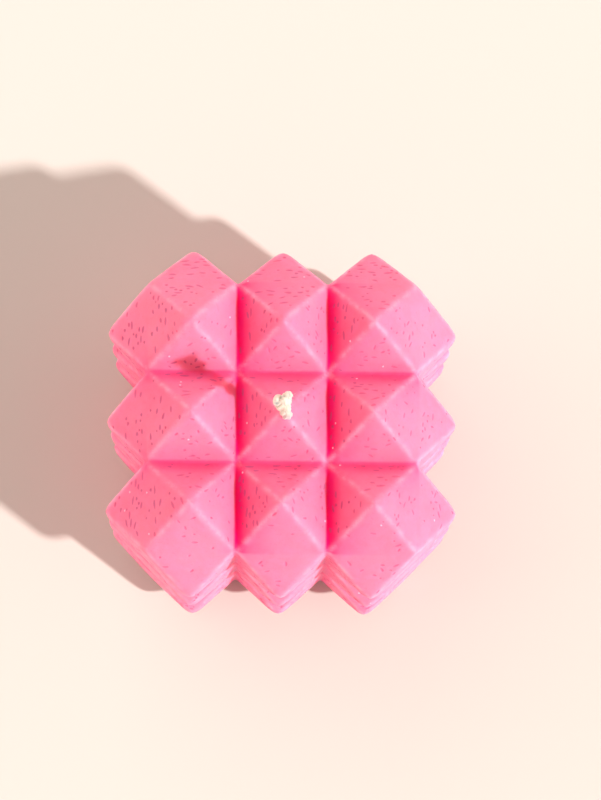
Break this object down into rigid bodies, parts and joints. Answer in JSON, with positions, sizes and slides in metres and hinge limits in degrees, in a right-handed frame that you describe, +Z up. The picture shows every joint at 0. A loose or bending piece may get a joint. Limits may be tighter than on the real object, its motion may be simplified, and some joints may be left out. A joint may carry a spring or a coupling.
{
  "type": "facet cube candle",
  "caption": "Cast wax pillar candle, a cube with square pyramids over its top and sides, a braided cotton wick and a metal sustainer in its flat base.",
  "frame": {"origin": "centre of the flat base, on the surface that the candle stands on", "axes": "+Z up along the wick, +X to the right and +Y to the rear, both square to the side faces; the wick leans towards +Y"},
  "size_m": [0.0588, 0.0588, 0.061],
  "materials": {
    "wax": "satin pink wax, translucent, with small pits",
    "wick_cotton": "undyed braided cotton, waxed near the candle",
    "tinplate": "stamped tin-plated steel, satin"
  },
  "bodies": {
    "root": {"wax_body": "wax", "wick_strand_left": "wick_cotton", "wick_strand_rear": "wick_cotton", "wick_strand_front": "wick_cotton", "wick_sustainer": "tinplate"}
  },
  "joints": []
}
